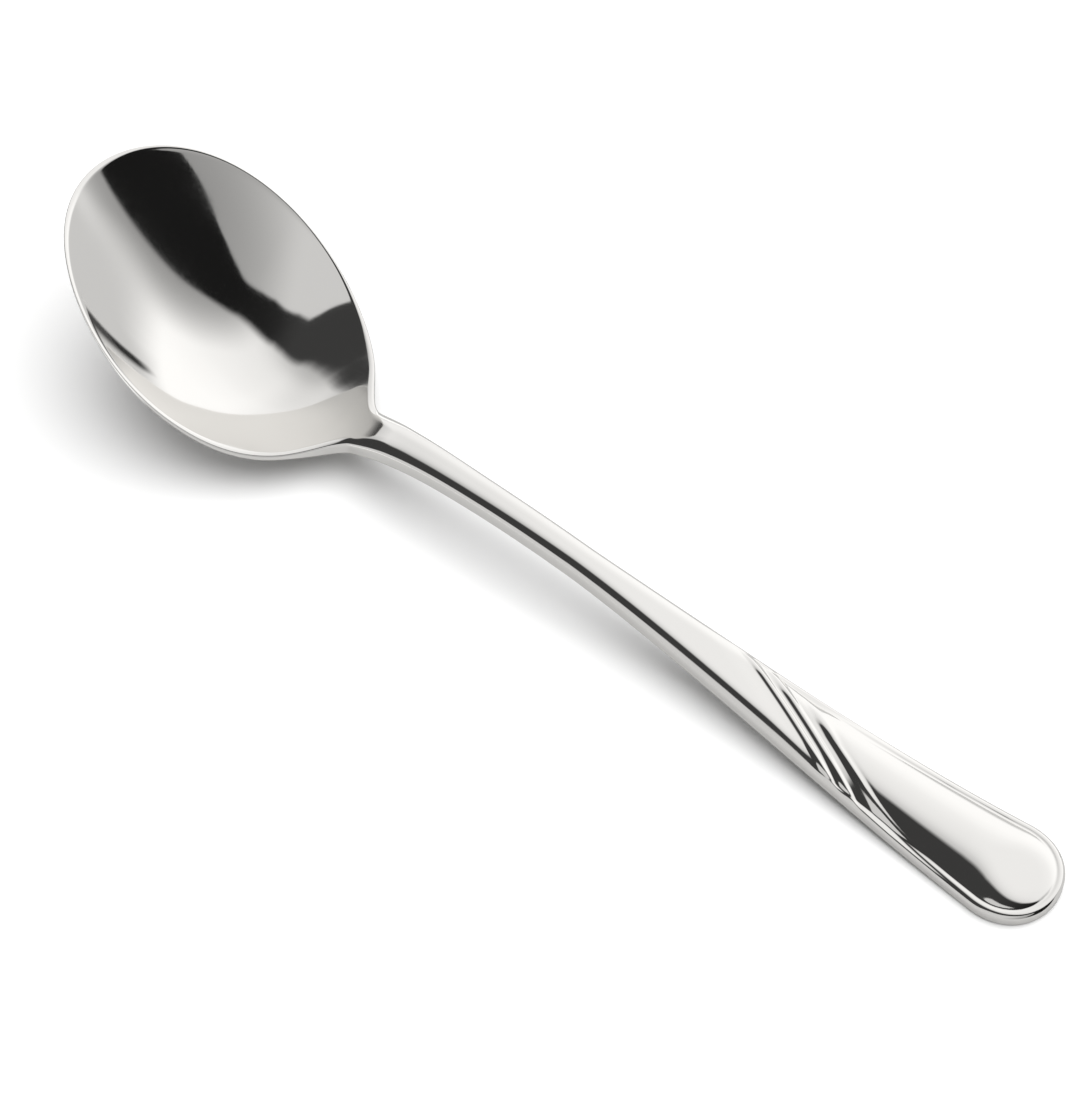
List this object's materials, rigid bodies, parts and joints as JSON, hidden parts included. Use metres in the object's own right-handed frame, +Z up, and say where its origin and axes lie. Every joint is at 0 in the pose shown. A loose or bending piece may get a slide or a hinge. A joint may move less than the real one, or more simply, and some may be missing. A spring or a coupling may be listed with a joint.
{
  "type": "teaspoon",
  "caption": "Polished steel teaspoon with an egg-shaped bowl, an arched slim stem and a flared handle with slanting ribs and a domed end pad.",
  "frame": {"origin": "on the table, in the middle of the spoon's length and width", "axes": "+X along the spoon from the lip of the bowl to the tip of the handle, +Y across, +Z up, away from the table it lies on"},
  "size_m": [0.14, 0.032, 0.0251],
  "materials": {
    "steel": "stainless steel polished to a mirror"
  },
  "bodies": {
    "root": {"bowl": "steel", "neck": "steel", "stem": "steel", "fluted_grip": "steel", "handle_end": "steel"}
  },
  "joints": []
}
